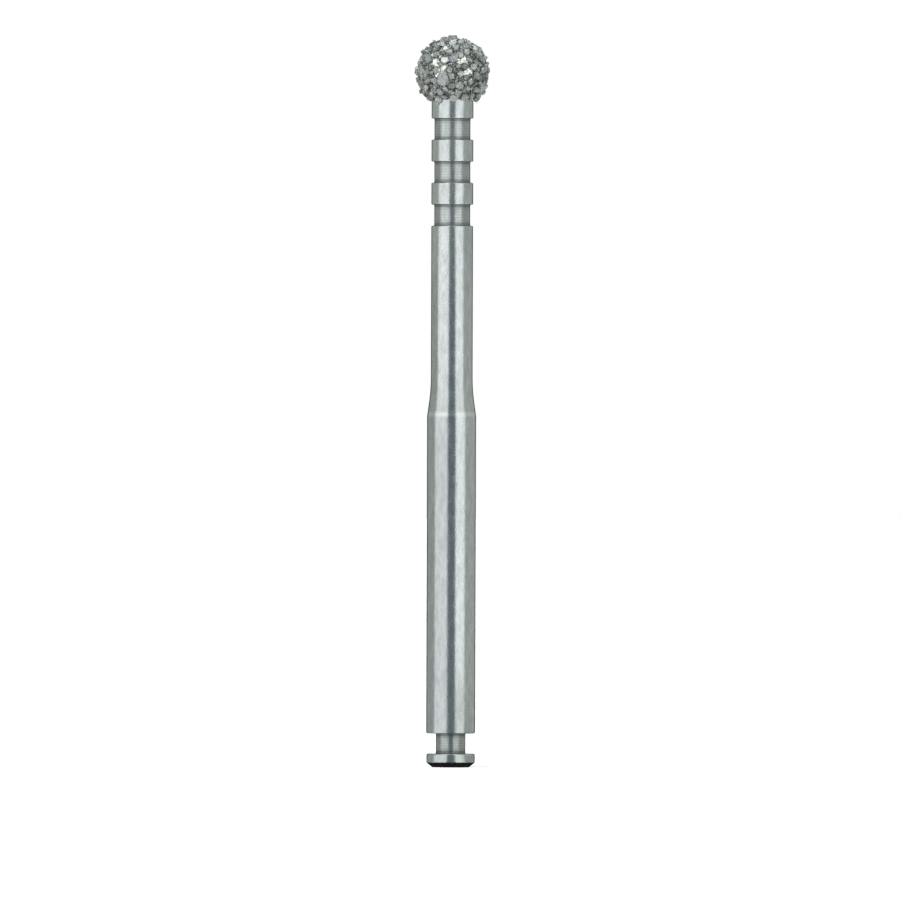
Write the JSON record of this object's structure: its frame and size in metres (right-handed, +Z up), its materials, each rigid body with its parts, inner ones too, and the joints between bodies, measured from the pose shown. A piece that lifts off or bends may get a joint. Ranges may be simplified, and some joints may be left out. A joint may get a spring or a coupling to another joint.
{
  "type": "dental bur",
  "caption": "Round diamond dental bur on a long latch-type shank, with ring-shaped depth marks on its slim neck.",
  "frame": {"origin": "centre of the tail end's flat face", "axes": "+Z up the bur's axis from the tail end to the ball, -Y towards the pictured side, +Y out of the drive flat"},
  "size_m": [0.0036, 0.0036, 0.035],
  "materials": {
    "steel": "turned and polished stainless steel, slightly satin",
    "nickel": "bright galvanic nickel, lumpy",
    "diamond": "grey-green diamond grit, glassy facets"
  },
  "bodies": {
    "root": {"steel_blank": "steel", "nickel_bond": "nickel", "diamond_grit": "diamond"}
  },
  "joints": []
}
